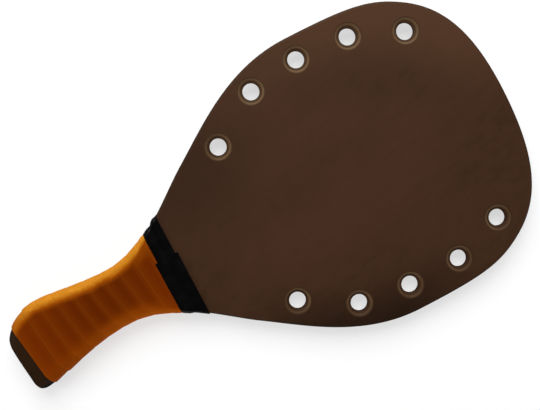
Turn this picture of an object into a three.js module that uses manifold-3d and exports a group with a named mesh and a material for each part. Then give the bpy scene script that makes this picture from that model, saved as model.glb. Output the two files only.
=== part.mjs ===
// Frescobol racket: a laminated wooden blade with ten countersunk holes, two handle scales glued on
// its sides, an overgrip wound up the handle and a band of finishing tape round the neck.
// Millimetres. +X runs from the butt to the tip, +Y to the racket's left edge, +Z out of the front face.
import * as THREE from 'three';
import { mergeVertices } from 'three/addons/utils/BufferGeometryUtils.js';
import Module from 'manifold-3d';

const wasm = await Module();
wasm.setup();

// Plan of the head, seen from the front: distances from the butt end and from the long axis
const overallLength = 443;
const crownFromButt = 304.4;
const crownHalfWidth = 121.6;
const shoulderFromTip = 40.5;
const shoulderHalfWidth = 104;
const shoulderFall = 0.645;
const neckFromButt = 184.2;
const neckHalfWidth = 69.6;
const neckRise = 0.667;
const waistFromButt = 91.4;
const waistHalfWidth = 21.7;

// Plan of the butt: a broad round corner on the left, a hooked and tighter corner on the right
const endPeakOffset = 1.9;
const leftCrestFromButt = 33.3;
const leftCrestHalfWidth = 26.6;
const rightCrestFromButt = 10.3;
const rightCrestHalfWidth = 38.3;
const heelFromButt = 2.5;
const heelHalfWidth = 29.6;
const heelRake = 0.09;

// How far each curve's two ends pull along their own directions, as shares of the curve's chord
const waistToNeckShares = [0.36, 0.274];
const neckToCrownShares = [0.295, 0.39];
const crownToShoulderShares = [0.579, 0.277];
const shoulderToTipShares = [0.305, 0.485];
const endToLeftCrestShares = [0.374, 0.45];
const leftCrestToWaistShares = [0.184, 0.39];
const endToHeelShares = [0.205, 0.222];
const heelToRightCrestShares = [0.092, 0.522];
const rightCrestToWaistShares = [0.107, 0.455];

// Plies of the blade, from either face to the middle, and the rounding of its edge
const faceVeneer = 1.4;
const crossPly = 1.45;
const longPly = 1.45;
const corePly = 1.4;
const bladeEdgeRadius = 2;

// Holes: shares of the overall length, and of the half width there, from the neck towards the tip
const holeRadius = 6.8;
const countersinkRadius = 11.2;
const countersinkDepth = 3.6;
const holeAlongShares = [0.494, 0.592, 0.69, 0.791, 0.888];
const leftHoleAcrossShares = [0.751, 0.845, 0.847, 0.834, 0.762];
const rightHoleAcrossShares = [0.745, 0.822, 0.822, 0.825, 0.769];

// Handle: two scales on the blade, thinning and squaring off to a cut end on the neck
const scaleThickness = 6;
const scaleEndThickness = 1.4;
const scaleEndFromButt = 148.4;
const thinningFromButt = 91.4;
const squaringFromButt = 111.4;
const edgeFlatHalf = 1.5;
const buttEdgeRadius = 2.5;

// Overgrip: one strip wound from the butt, each turn lapping the one before
const gripStartFromButt = 6;
const gripEndFromButt = 141.4;
const gripPitch = 13.5;
const gripLap = 8;
const gripLapEase = 0.5;
const gripThickness = 0.5;
const gripLayerGap = 0.55;
const gripFrontAdvanceShare = 0.9;
const gripStartTurnShare = -0.3;
const gripTaperTurnShare = 0.45;
const gripTaperStartShare = 0.3;

// Finishing tape: a strip that ends on the front, wider where its last length lies unstretched
const tapeCentreFromButt = 141.6;
const tapeWidth = 16.5;
const tapeEndWidth = 18.6;
const tapeThickness = 0.35;
const tapeLayerGap = 0.55;
const tapeTurns = 1.6;
const tapeWideningTurns = 0.6;
const tapeEndOffset = 10;
const tapeCutSlant = 5.5;
const tapeLean = 0.006;
const tapeDrop = 2.5;

// Gap between a wound strip and the wood, and the part of a turn over which it climbs its first lap
const seatClearance = 0.3;
const lapRiseTurnShare = 0.25;

// Overrun of the cuts, and the lap of the handle over the blade where the two are joined
const overrun = 4;
const spliceLap = 0.5;

// Where the butt's block takes over from the left flank, and how the flanks lean clear of the block
const leftEndShare = 0.425;
const trimLean = 0.2;
const trimFlare = 20;

// Fineness of the facets
const headCurveSteps = [6, 9, 9, 9];
const buttCurveSteps = 6;
const edgeRoundSteps = 2;
const quarterRoundSteps = 3;
const faceSteps = 3;
const holeSides = 16;
const handleRings = 22;
const handleRingGrading = 1.25;
const lookupSteps = 120;
const leastRingRise = 0.02;

const bladeHalf = faceVeneer + crossPly + longPly + corePly / 2;
const handleHalf = bladeHalf + scaleThickness;
const scaleEndHalf = bladeHalf + scaleEndThickness;
const farOut = 2 * overallLength;

// Levels of the glue lines above the blade's middle, up to the face
const glueLevels = [corePly / 2, corePly / 2 + longPly, bladeHalf - faceVeneer, bladeHalf];

// Plan curves

function curveBetween(start, startDirection, end, endDirection, [startShare, endShare]) {
  const chord = start.distanceTo(end);
  const leaving = startDirection.clone().normalize().multiplyScalar(chord * startShare);
  const arriving = endDirection.clone().normalize().multiplyScalar(chord * endShare);
  return new THREE.CubicBezierCurve(start, start.clone().add(leaving), end.clone().sub(arriving), end);
}

function pointsAlong(curves, stepCounts) {
  const points = [curves[0].getPoint(0)];
  curves.forEach((curve, index) => points.push(...curve.getPoints(stepCounts[index]).slice(1)));
  return points;
}

function mirrored(points) {
  return points.map((point) => new THREE.Vector2(point.x, -point.y));
}

const forwards = new THREE.Vector2(1, 0);
const outwards = new THREE.Vector2(0, 1);
const inwards = new THREE.Vector2(0, -1);
const neckDirection = new THREE.Vector2(1, neckRise);
const shoulderDirection = new THREE.Vector2(1, -shoulderFall);
const heelDirection = new THREE.Vector2(heelRake, 1);

const waist = new THREE.Vector2(waistFromButt, waistHalfWidth);
const neck = new THREE.Vector2(neckFromButt, neckHalfWidth);
const crown = new THREE.Vector2(crownFromButt, crownHalfWidth);
const shoulder = new THREE.Vector2(overallLength - shoulderFromTip, shoulderHalfWidth);
const tip = new THREE.Vector2(overallLength, 0);
const headCurves = [
  curveBetween(waist, forwards, neck, neckDirection, waistToNeckShares),
  curveBetween(neck, neckDirection, crown, forwards, neckToCrownShares),
  curveBetween(crown, forwards, shoulder, shoulderDirection, crownToShoulderShares),
  curveBetween(shoulder, shoulderDirection, tip, inwards, shoulderToTipShares),
];

const leftPeak = new THREE.Vector2(0, endPeakOffset);
const leftCrest = new THREE.Vector2(leftCrestFromButt, leftCrestHalfWidth);
const leftEndCurve = curveBetween(leftPeak, outwards, leftCrest, forwards, endToLeftCrestShares);
const leftFlankCurve = curveBetween(leftCrest, forwards, waist, forwards, leftCrestToWaistShares);

// The right side's curves count its half widths as positive, as the left side's do
const rightPeak = new THREE.Vector2(0, -endPeakOffset);
const heel = new THREE.Vector2(heelFromButt, heelHalfWidth);
const rightCrest = new THREE.Vector2(rightCrestFromButt, rightCrestHalfWidth);
const rightEndCurve = curveBetween(rightPeak, outwards, heel, heelDirection, endToHeelShares);
const hookCurve = curveBetween(heel, heelDirection, rightCrest, forwards, heelToRightCrestShares);
const rightFlankCurve = curveBetween(rightCrest, forwards, waist, forwards, rightCrestToWaistShares);

// Half width of one side at a distance from the butt, with its slope. Nearer the butt than
// straightBelow the side runs on straight and leans outwards, so that the butt's block trims it.
function sideProfile(curves, straightBelow) {
  const samples = pointsAlong(curves, curves.map(() => lookupSteps));
  const onCurve = (x) => {
    const found = samples.findIndex((sample, index) => index > 0 && sample.x > x);
    const next = found < 0 ? samples.length - 1 : found;
    const low = samples[next - 1];
    const slope = (samples[next].y - low.y) / (samples[next].x - low.x);
    return { width: low.y + slope * (x - low.x), slope };
  };
  return (x) => {
    const { width, slope } = onCurve(Math.max(x, straightBelow));
    if (x >= straightBelow) {
      return { width, slope };
    }
    const straightSlope = slope - trimLean;
    return { width: width - straightSlope * (straightBelow - x), slope: straightSlope };
  };
}

const leftEnd = leftEndCurve.getPoint(leftEndShare);
const leftSide = sideProfile([leftEndCurve, leftFlankCurve, ...headCurves], leftEnd.x);
const rightSide = sideProfile([rightFlankCurve, ...headCurves], rightCrest.x);

// Solids

function signedVolume(positions, triangles) {
  const corners = [new THREE.Vector3(), new THREE.Vector3(), new THREE.Vector3()];
  let total = 0;
  for (let i = 0; i < triangles.length; i += 3) {
    corners.forEach((corner, k) => corner.fromArray(positions, 3 * triangles[i + k]));
    total += corners[0].dot(corners[1].clone().cross(corners[2]));
  }
  return total;
}

function solidOfGeometry(geometry) {
  geometry.deleteAttribute('normal');
  geometry.deleteAttribute('uv');
  const welded = mergeVertices(geometry);
  const vertProperties = Float32Array.from(welded.attributes.position.array);
  const triVerts = Uint32Array.from(welded.index.array);
  if (signedVolume(vertProperties, triVerts) < 0) {
    for (let i = 0; i < triVerts.length; i += 3) {
      [triVerts[i], triVerts[i + 1]] = [triVerts[i + 1], triVerts[i]];
    }
  }
  return new wasm.Manifold(new wasm.Mesh({ numProp: 3, vertProperties, triVerts }));
}

// Joins a row of equal loops into one closed solid, with the given triangles over both its ends
function loftedSolid(loops, capTriangles) {
  const count = loops[0].length;
  const positions = loops.flat().flatMap((point) => point.toArray());
  const triangles = [];
  for (let row = 0; row + 1 < loops.length; row += 1) {
    for (let k = 0; k < count; k += 1) {
      const a = row * count + k;
      const b = row * count + ((k + 1) % count);
      triangles.push(a, b, b + count, a, b + count, a + count);
    }
  }
  const last = (loops.length - 1) * count;
  for (const [a, b, c] of capTriangles) {
    triangles.push(a, c, b, last + a, last + b, last + c);
  }
  const geometry = new THREE.BufferGeometry();
  geometry.setAttribute('position', new THREE.Float32BufferAttribute(positions, 3));
  geometry.setIndex(triangles);
  return solidOfGeometry(geometry);
}

// Heights of a solid's rings in rising order, without those that would all but touch
function ringHeights(heights) {
  const rising = [...heights].sort((a, b) => a - b);
  return rising.filter((height, index) => index === 0 || height - rising[index - 1] > leastRingRise);
}

// A plate of a plan outline that runs anticlockwise, its two rims rounded to edgeRadius.
// It has a ring at each seam level, so that it parts there cleanly.
function roundedPlate(outline, halfThickness, edgeRadius, seamLevels) {
  const inner = outline.map((point, index) => {
    const before = outline[(index + outline.length - 1) % outline.length];
    const after = outline[(index + 1) % outline.length];
    const arriving = point.clone().sub(before).normalize();
    const along = after.clone().sub(point).normalize().add(arriving).normalize();
    return new THREE.Vector2(-along.y, along.x);
  });
  const straight = halfThickness - edgeRadius;
  const rim = [];
  for (let step = 0; step < edgeRoundSteps; step += 1) {
    rim.push(straight + edgeRadius * Math.sin((Math.PI / 2) * (step / edgeRoundSteps)));
  }
  const heights = ringHeights([...seamLevels, ...rim, halfThickness]);
  const loops = [...heights.map((height) => -height).reverse(), ...heights].map((z) => {
    const rise = Math.max(Math.abs(z) - straight, 0);
    const inset = edgeRadius - Math.sqrt(Math.max(edgeRadius ** 2 - rise ** 2, 0));
    return outline.map((point, index) => {
      const moved = point.clone().addScaledVector(inner[index], inset);
      return new THREE.Vector3(moved.x, moved.y, z);
    });
  });
  return loftedSolid(loops, THREE.ShapeUtils.triangulateShape(outline, []));
}

function blockBetween(low, high) {
  const size = high.clone().sub(low);
  const middle = low.clone().add(high).divideScalar(2);
  const geometry = new THREE.BoxGeometry(size.x, size.y, size.z);
  return solidOfGeometry(geometry.translate(middle.x, middle.y, middle.z));
}

function partBetweenX(solid, fromX, toX) {
  const low = new THREE.Vector3(fromX, -farOut, -farOut);
  return solid.intersect(blockBetween(low, new THREE.Vector3(toX, farOut, farOut)));
}

function partBetweenZ(solid, fromZ, toZ) {
  const low = new THREE.Vector3(-farOut, -farOut, fromZ);
  return solid.intersect(blockBetween(low, new THREE.Vector3(farOut, farOut, toZ)));
}

// Cross-section of the handle

function easedShare(value) {
  const share = THREE.MathUtils.clamp(value, 0, 1);
  return share * share * (3 - 2 * share);
}

function handleHeights(x) {
  const thinned = easedShare((x - thinningFromButt) / (scaleEndFromButt - thinningFromButt));
  const squared = easedShare((x - squaringFromButt) / (scaleEndFromButt - squaringFromButt));
  const half = THREE.MathUtils.lerp(handleHalf, scaleEndHalf, thinned);
  return { half, round: THREE.MathUtils.lerp(half - edgeFlatHalf, bladeEdgeRadius, squared) };
}

// Stations count round the section from its left edge over the front to its right edge and back
// behind. Each half is a quarter round, the face, a quarter round and the flat of the edge.
const faceEndStation = quarterRoundSteps + faceSteps;
const edgeStation = faceEndStation + quarterRoundSteps;
const stationsPerHalf = edgeStation + 1;
const stationsPerTurn = 2 * stationsPerHalf;

// Point at a station of the section at x, raised by level above the wood
function skinPoint(x, station, level) {
  const { half, round } = handleHeights(x);
  const [left, right] = [leftSide(x), rightSide(x)].map(({ width, slope }) => {
    const spread = Math.hypot(1, slope);
    return { reach: width + level * spread, depth: (round + level) * spread };
  });
  const wrapped = THREE.MathUtils.euclideanModulo(station, stationsPerTurn);
  const behind = wrapped >= stationsPerHalf;
  const along = behind ? wrapped - stationsPerHalf : wrapped;
  const face = behind ? -1 : 1;
  const first = behind ? { sign: -1, ...right } : { sign: 1, ...left };
  const second = behind ? { sign: 1, ...left } : { sign: -1, ...right };
  const onQuarter = (edge, share) => {
    const angle = (Math.PI / 2) * share;
    const y = edge.sign * (edge.reach - edge.depth * (1 - Math.cos(angle)));
    return new THREE.Vector3(x, y, face * (half - round + (round + level) * Math.sin(angle)));
  };
  if (along <= quarterRoundSteps) {
    return onQuarter(first, along / quarterRoundSteps);
  }
  if (along < faceEndStation) {
    return onQuarter(first, 1).lerp(onQuarter(second, 1), (along - quarterRoundSteps) / faceSteps);
  }
  if (along <= edgeStation) {
    return onQuarter(second, (edgeStation - along) / quarterRoundSteps);
  }
  const edgePoint = onQuarter(second, 0);
  edgePoint.z *= 1 - 2 * (along - edgeStation);
  return edgePoint;
}

// Wood: one blank is shaped, then parted at its glue lines

function flanksSolid() {
  const stations = [];
  for (let station = 0; station < stationsPerTurn; station += 1) {
    const along = station % stationsPerHalf;
    if (along <= quarterRoundSteps || along >= faceEndStation) {
      stations.push(station);
    }
  }
  const loops = [];
  for (let ring = 0; ring <= handleRings; ring += 1) {
    const share = Math.pow(ring / handleRings, handleRingGrading);
    const x = THREE.MathUtils.lerp(-overrun, scaleEndFromButt, share);
    loops.push(stations.map((station) => skinPoint(x, station, 0)));
  }
  const flatLoop = loops[0].map((point) => new THREE.Vector2(point.y, point.z));
  return loftedSolid(loops, THREE.ShapeUtils.triangulateShape(flatLoop, []));
}

// Block whose near end is the butt's plan curve; past both corners it stands clear of the flanks
function buttBlock() {
  const leftPoints = [];
  for (let step = buttCurveSteps; step > 0; step -= 1) {
    leftPoints.push(leftEndCurve.getPoint(leftEndShare * (step / buttCurveSteps)));
  }
  const rightPoints = mirrored(pointsAlong([rightEndCurve, hookCurve], [buttCurveSteps, buttCurveSteps]));
  const clear = rightCrestHalfWidth + trimFlare;
  const far = scaleEndFromButt + overrun;
  const outline = [
    ...leftPoints,
    ...rightPoints,
    new THREE.Vector2(rightCrest.x, -clear),
    new THREE.Vector2(far, -clear),
    new THREE.Vector2(far, clear),
    new THREE.Vector2(leftEnd.x, clear),
  ];
  return roundedPlate(outline, handleHalf, buttEdgeRadius, []);
}

function holeCutter() {
  const flare = (countersinkRadius - holeRadius) / countersinkDepth;
  const land = bladeHalf - countersinkDepth;
  const reach = bladeHalf + overrun;
  const heights = ringHeights([...glueLevels, land, reach]);
  const wall = [...heights.map((height) => -height).reverse(), ...heights].map((z) => {
    return new THREE.Vector2(holeRadius + flare * Math.max(Math.abs(z) - land, 0), z);
  });
  const profile = [new THREE.Vector2(0, -reach), ...wall, new THREE.Vector2(0, reach)];
  return solidOfGeometry(new THREE.LatheGeometry(profile, holeSides).rotateX(Math.PI / 2));
}

function bladeSolid() {
  const left = pointsAlong(headCurves, headCurveSteps);
  const outline = [...mirrored(left.slice(0, -1)), ...left.reverse()];
  const plate = roundedPlate(outline, bladeHalf, bladeEdgeRadius, glueLevels);
  let blade = partBetweenX(plate, scaleEndFromButt - spliceLap, farOut);
  const cutter = holeCutter();
  holeAlongShares.forEach((alongShare, index) => {
    const x = alongShare * overallLength;
    const left = leftHoleAcrossShares[index] * leftSide(x).width;
    const right = rightHoleAcrossShares[index] * rightSide(x).width;
    blade = blade.subtract(cutter.translate(x, left, 0)).subtract(cutter.translate(x, -right, 0));
  });
  return blade;
}

const blank = bladeSolid().add(flanksSolid().intersect(buttBlock()));

// Wound strips. A profile gives the strip's lower corners across its width as [x, level].

function woundStrip(stations, profileAt, thickness) {
  const loops = stations.map((station) => {
    const lower = profileAt(station);
    const upper = lower.map(([x, level, along]) => [x, level + thickness, along]).reverse();
    return [...lower, ...upper].map(([x, level, along]) => skinPoint(x, along, level));
  });
  const corners = loops[0].length;
  const capTriangles = [];
  for (let k = 0; k + 1 < corners / 2; k += 1) {
    const opposite = corners - 1 - k;
    capTriangles.push([k, k + 1, opposite - 1], [k, opposite - 1, opposite]);
  }
  return { loops, solid: loftedSolid(loops, capTriangles) };
}

// Least distance from a strip's lower corners to the upper side of the turn underneath
function leastLayerGap({ loops }) {
  let least = Infinity;
  const nearest = new THREE.Vector3();
  const side = new THREE.Line3();
  for (let row = stationsPerTurn; row < loops.length; row += 1) {
    const corners = loops[row].length / 2;
    const beneath = loops[row - stationsPerTurn].slice(corners);
    for (const corner of loops[row].slice(0, corners)) {
      for (let k = 0; k + 1 < corners; k += 1) {
        side.set(beneath[k], beneath[k + 1]).closestPointToPoint(corner, true, nearest);
        least = Math.min(least, nearest.distanceTo(corner));
      }
    }
  }
  return least;
}

// Share of a turn's advance that is made by a station: most of it on the front, none lost overall
function advanceShare(station) {
  const turns = Math.floor(station / stationsPerTurn);
  const within = station / stationsPerTurn - turns;
  const eased = (1 - Math.cos(2 * Math.PI * within)) / 2;
  return turns + within + (gripFrontAdvanceShare - 1 / 2) * eased;
}

function overgrip() {
  const raised = seatClearance + gripThickness + gripLayerGap;
  const width = gripPitch + gripLap;
  const lapEnd = gripLap + gripLapEase;
  const knots = [0, lapEnd / 2, lapEnd, gripPitch, width];
  const first = Math.round(gripStartTurnShare * stationsPerTurn);
  const edgeAt = (station) => gripStartFromButt + gripPitch * advanceShare(station);
  const profileAt = (station) => {
    const turn = (station - first) / stationsPerTurn;
    const lapped = easedShare(1 - (1 - turn) / lapRiseTurnShare);
    const full = THREE.MathUtils.clamp(gripTaperStartShare + turn / gripTaperTurnShare, 0, 1);
    const high = THREE.MathUtils.lerp(seatClearance, raised, lapped);
    const levels = [high, high, high, seatClearance, seatClearance];
    return knots.map((knot, index) => [edgeAt(station) + full * knot, levels[index], station]);
  };
  const stations = [first];
  while (edgeAt(stations[stations.length - 1]) < gripEndFromButt) {
    stations.push(stations[stations.length - 1] + 1);
  }
  const strip = woundStrip(stations, profileAt, gripThickness);
  console.log('least gap between the layers of the overgrip', leastLayerGap(strip).toFixed(3));
  return partBetweenX(strip.solid, -farOut, gripEndFromButt);
}

function finishingTape() {
  const gripTop = seatClearance + 2 * gripThickness + gripLayerGap;
  const faceY = skinPoint(tapeCentreFromButt, quarterRoundSteps, 0).y;
  const farFaceY = skinPoint(tapeCentreFromButt, faceEndStation, 0).y;
  const stationsPerY = faceSteps / (farFaceY - faceY);
  const last = quarterRoundSteps + (tapeEndOffset - faceY) * stationsPerY;
  const first = last + tapeTurns * stationsPerTurn;
  const profileAt = (station) => {
    const turn = (first - station) / stationsPerTurn;
    const widening = easedShare(1 - (tapeTurns - turn) / tapeWideningTurns);
    const width = THREE.MathUtils.lerp(tapeWidth, tapeEndWidth, widening);
    const centre = tapeCentreFromButt - tapeLean * skinPoint(tapeCentreFromButt, station, 0).y;
    const lapped = easedShare(1 - (1 - turn) / lapRiseTurnShare);
    const lift = seatClearance + lapped * (tapeThickness + tapeLayerGap);
    const drop = gripEndFromButt + seatClearance;
    const knots = [
      [centre - width / 2, gripTop + lift],
      [drop, gripTop + lift],
      [drop + tapeDrop, lift],
      [centre + width / 2, lift],
    ];
    const slant = station === last ? tapeCutSlant / width : 0;
    return knots.map(([x, level]) => {
      const cut = slant * (x - centre + width / 2) * stationsPerY;
      return [x, level, station - cut];
    });
  };
  const stations = [first];
  for (let station = Math.ceil(first) - 1; station > last; station -= 1) {
    stations.push(station);
  }
  stations.push(last);
  return woundStrip(stations, profileAt, tapeThickness);
}

// Assembly

const racket = new THREE.Group();

function addPiece(name, solid, color, roughness) {
  const { numProp, vertProperties, triVerts } = solid.getMesh();
  const positions = [];
  for (let i = 0; i < vertProperties.length; i += numProp) {
    positions.push(vertProperties[i], vertProperties[i + 1], vertProperties[i + 2]);
  }
  const geometry = new THREE.BufferGeometry();
  geometry.setAttribute('position', new THREE.Float32BufferAttribute(positions, 3));
  geometry.setIndex(Array.from(triVerts));
  const piece = new THREE.Mesh(geometry, new THREE.MeshStandardMaterial({ color, roughness, metalness: 0 }));
  piece.name = name;
  racket.add(piece);
  return piece;
}

const stainedVeneer = 0x4a3023;
const paleVeneer = 0xb08a5e;
const brownPly = 0x8a6240;

const plies = [
  ['long_ply', paleVeneer],
  ['cross_ply', brownPly],
  ['face_veneer', stainedVeneer],
];

addPiece('core_ply', partBetweenZ(blank, -glueLevels[0], glueLevels[0]), brownPly, 0.7);
plies.forEach(([name, color], index) => {
  const inner = glueLevels[index];
  const outer = glueLevels[index + 1];
  addPiece(`front_${name}`, partBetweenZ(blank, inner, outer), color, 0.6);
  addPiece(`back_${name}`, partBetweenZ(blank, -outer, -inner), color, 0.6);
});
addPiece('front_handle_scale', partBetweenZ(blank, bladeHalf, farOut), stainedVeneer, 0.6);
addPiece('back_handle_scale', partBetweenZ(blank, -farOut, -bladeHalf), stainedVeneer, 0.6);

const grip = addPiece('overgrip', overgrip(), 0xc8690f, 0.75);
const tape = finishingTape();
console.log('least gap between the layers of the finishing tape', leastLayerGap(tape).toFixed(3));
addPiece('finishing_tape', tape.solid, 0x101012, 0.3);

// The racket stands over the middle of its outline, on its lowest turn of the overgrip
racket.updateMatrixWorld(true);
const bounds = new THREE.Box3().setFromObject(racket, true);
const centre = bounds.getCenter(new THREE.Vector3());
racket.position.set(-centre.x, -centre.y, -bounds.min.z);

export default racket;
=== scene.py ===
"""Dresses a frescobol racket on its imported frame: the laminated blade, the overgrip and its tape.

The lengths in the classes are millimetres from the butt, from the long axis and from the blade's
middle. Meshes are metres in the frame's own axes.
"""

import logging
import math
from collections.abc import Iterator
from contextlib import contextmanager
from dataclasses import dataclass, field
from enum import Enum

import bpy
import numpy as np
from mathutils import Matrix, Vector


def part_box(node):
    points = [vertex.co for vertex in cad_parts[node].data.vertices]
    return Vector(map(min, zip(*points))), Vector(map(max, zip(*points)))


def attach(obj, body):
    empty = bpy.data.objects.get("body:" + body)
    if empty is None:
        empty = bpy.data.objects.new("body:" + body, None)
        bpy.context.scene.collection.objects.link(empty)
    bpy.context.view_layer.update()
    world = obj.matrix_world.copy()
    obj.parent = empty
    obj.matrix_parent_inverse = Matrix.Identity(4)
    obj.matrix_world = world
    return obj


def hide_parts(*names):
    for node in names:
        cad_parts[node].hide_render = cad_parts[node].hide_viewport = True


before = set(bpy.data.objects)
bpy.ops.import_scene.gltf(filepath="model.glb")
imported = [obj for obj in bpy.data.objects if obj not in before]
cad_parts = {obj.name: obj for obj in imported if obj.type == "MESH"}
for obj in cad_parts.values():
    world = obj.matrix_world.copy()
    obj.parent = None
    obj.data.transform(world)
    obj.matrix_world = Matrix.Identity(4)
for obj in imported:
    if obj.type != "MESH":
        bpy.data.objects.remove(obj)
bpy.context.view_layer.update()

LOG = logging.getLogger("racket")
MM = 0.001
WELD = 1e-7
WOOD_ARRIS = 32.0
STRIP_ARRIS = 50.0
RIM_SHARE = 0.3

# Stations round the handle's section. Each half turn walks one rounded edge up to the face's
# start, the face up to its end, the other rounded edge, and that edge's flat from its station.
STATIONS_PER_TURN = 20
FACE_START = 3
FACE_END = 6
EDGE_STATION = 9

# Directions in the plan
AHEAD = (1.0, 0.0)
ACROSS = (0.0, 1.0)

Array = np.ndarray
Row = tuple[float, ...]
Point = tuple[float, float]
Triple = tuple[float, float, float]
Color = Triple
Piece = bpy.types.Object
Node = bpy.types.Node
Tree = bpy.types.NodeTree
Material = bpy.types.Material
Socket = bpy.types.NodeSocket
Value = Socket | float
# A finish's colour, roughness and normal
Coat = tuple[Socket, Value, Socket]


class Side(Enum):
    """The racket's two edges, seen from the front with the tip away from the viewer."""

    LEFT = 1
    RIGHT = -1


class Cut(Enum):
    """How one solid works on another."""

    TAKE_AWAY = "DIFFERENCE"
    JOIN = "UNION"
    KEEP_SHARED = "INTERSECT"


# Hand tools


def deselect() -> None:
    """Goes back to object mode with nothing selected."""
    if bpy.context.object and bpy.context.object.mode != "OBJECT":
        bpy.ops.object.mode_set(mode="OBJECT")
    bpy.ops.object.select_all(action="DESELECT")


def pick(piece: Piece) -> None:
    """Makes one piece the only selected and active one."""
    deselect()
    piece.select_set(True)
    bpy.context.view_layer.objects.active = piece


@contextmanager
def editing() -> Iterator[None]:
    """Opens the active piece's mesh to the mesh tools, and closes it again."""
    bpy.ops.object.mode_set(mode="EDIT")
    yield
    bpy.ops.object.mode_set(mode="OBJECT")


def face_outwards() -> None:
    """Selects the whole open mesh and turns its faces outwards."""
    bpy.ops.mesh.select_all(action="SELECT")
    bpy.ops.mesh.normals_make_consistent(inside=False)


def modify(piece: Piece, kind: str, **settings: object) -> None:
    """Adds a modifier to a piece, sets it and applies it."""
    pick(piece)
    bpy.ops.object.modifier_add(type=kind)
    modifier = piece.modifiers[-1]
    for key, value in settings.items():
        setattr(modifier, key, value)
    bpy.ops.object.modifier_apply(modifier=modifier.name)


# The butt end's middle in the frame, in metres, from the core ply
low_corner, high_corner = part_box("core_ply")
ORIGIN = (low_corner + high_corner) / 2
ORIGIN.x = low_corner.x


def placed(points: Array) -> Array:
    """Turns points in the racket's own millimetres into one flat row of metres in the frame."""
    return (points * MM + np.array(ORIGIN)).astype(np.float32).ravel()


def laid_grid(
    name: str, rows: Array, maps: dict[str, tuple[Array, Array]] | None = None
) -> Piece:
    """Adds a grid, lays its vertices on loops of points, and closes it to a solid.

    Args:
        name: The piece's name.
        rows: Points in millimetres, as rows by columns by 3, where each row is a loop.
        maps: For each named map its two values, which spread out to rows by columns.

    Returns:
        The piece, with its faces outwards.
    """
    rows = np.concatenate([rows, rows[:, :1]], axis=1)
    up, along = (count - 1 for count in rows.shape[:2])
    deselect()
    bpy.ops.mesh.primitive_grid_add(x_subdivisions=along, y_subdivisions=up)
    piece = bpy.context.object
    piece.name = piece.data.name = name
    mesh = piece.data
    mesh.vertices.foreach_set("co", placed(rows))
    corner = np.zeros(len(mesh.loops), np.int32)
    mesh.loops.foreach_get("vertex_index", corner)
    for label, values in (maps or {}).items():
        values = np.stack(np.broadcast_arrays(*values), axis=-1)
        values = np.concatenate([values, values[:, :1]], axis=1).reshape(-1, 2)[corner]
        mesh.uv_layers.new(name=label).data.foreach_set("uv", values.astype(np.float32).ravel())
    if maps:
        mesh.uv_layers.remove(mesh.uv_layers[0])
    mesh.update()
    with editing():
        bpy.ops.mesh.select_all(action="SELECT")
        bpy.ops.mesh.remove_doubles(threshold=WELD)
        bpy.ops.mesh.fill_holes(sides=0)
        face_outwards()
    return piece


def cut_with(piece: Piece, tool: Piece, how: Cut) -> None:
    """Cuts, joins or trims a piece with a solid, whose finish stays on the faces it makes."""
    kept = {"solver": "EXACT", "material_mode": "TRANSFER"}
    modify(piece, "BOOLEAN", object=tool, operation=how.value, **kept)
    bpy.data.objects.remove(tool)


def kept_between(piece: Piece, axis: int, low: float, high: float) -> None:
    """Saws a piece off at two levels of one axis and closes the sawn faces.

    Args:
        piece: The solid.
        axis: 0, 1 or 2 for x, y or z.
        low: The lower level in millimetres.
        high: The upper level in millimetres.
    """
    pick(piece)
    direction = Vector([float(k == axis) for k in range(3)])
    box = [corner[axis] for corner in piece.bound_box]
    with editing():
        for level, upper in ((low, False), (high, True)):
            at = ORIGIN[axis] + level * MM
            if min(box) < at < max(box):
                bpy.ops.mesh.select_all(action="SELECT")
                bpy.ops.mesh.bisect(
                    plane_co=direction * at, plane_no=direction, use_fill=True,
                    clear_inner=not upper, clear_outer=upper, threshold=WELD,
                )


def copied(piece: Piece, name: str) -> Piece:
    """Copies a piece with a mesh of its own."""
    twin = piece.copy()
    twin.data = piece.data.copy()
    twin.name = twin.data.name = name
    bpy.context.scene.collection.objects.link(twin)
    return twin


def smoothed(piece: Piece, arris: float) -> None:
    """Shades a piece smooth but for arrises of that many degrees, with its flats kept flat."""
    pick(piece)
    bpy.ops.object.shade_smooth_by_angle(angle=math.radians(arris))
    modify(piece, "WEIGHTED_NORMAL", keep_sharp=True, weight=100)


def eased(share: Array | float) -> Array:
    """Turns a share from 0 to 1 into one that starts and ends gently."""
    share = np.clip(share, 0, 1)
    return share * share * (3 - 2 * share)


def dimmed(color: Color, share: float) -> Color:
    """Darkens a colour to a share of its light."""
    return tuple(share * c for c in color)


def hand_over(piece: Piece, node: str) -> None:
    """Puts a finished piece in its node's place, and reports it."""
    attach(piece, "root")
    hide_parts(node)
    LOG.info("%s: %d faces in place of %s", piece.name, len(piece.data.polygons), node)


# Plan and handle


@dataclass(frozen=True)
class PlanCurve:
    """One cubic stretch of the outline, which leaves and arrives along given directions."""

    start: Point
    leaving: Point
    end: Point
    arriving: Point
    pulls: Point

    def points(self, steps: int, until: float = 1.0) -> Array:
        """Samples the curve in equal steps, from its start until a share of it."""
        a, d = np.array(self.start), np.array(self.end)
        chord = np.linalg.norm(d - a)
        leave = np.array(self.leaving) / np.linalg.norm(self.leaving)
        arrive = np.array(self.arriving) / np.linalg.norm(self.arriving)
        b = a + leave * chord * self.pulls[0]
        c = d - arrive * chord * self.pulls[1]
        t = np.linspace(0, until, steps + 1)[:, None]
        return (1 - t) ** 3 * a + 3 * (1 - t) ** 2 * t * b + 3 * (1 - t) * t * t * c + t**3 * d


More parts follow.
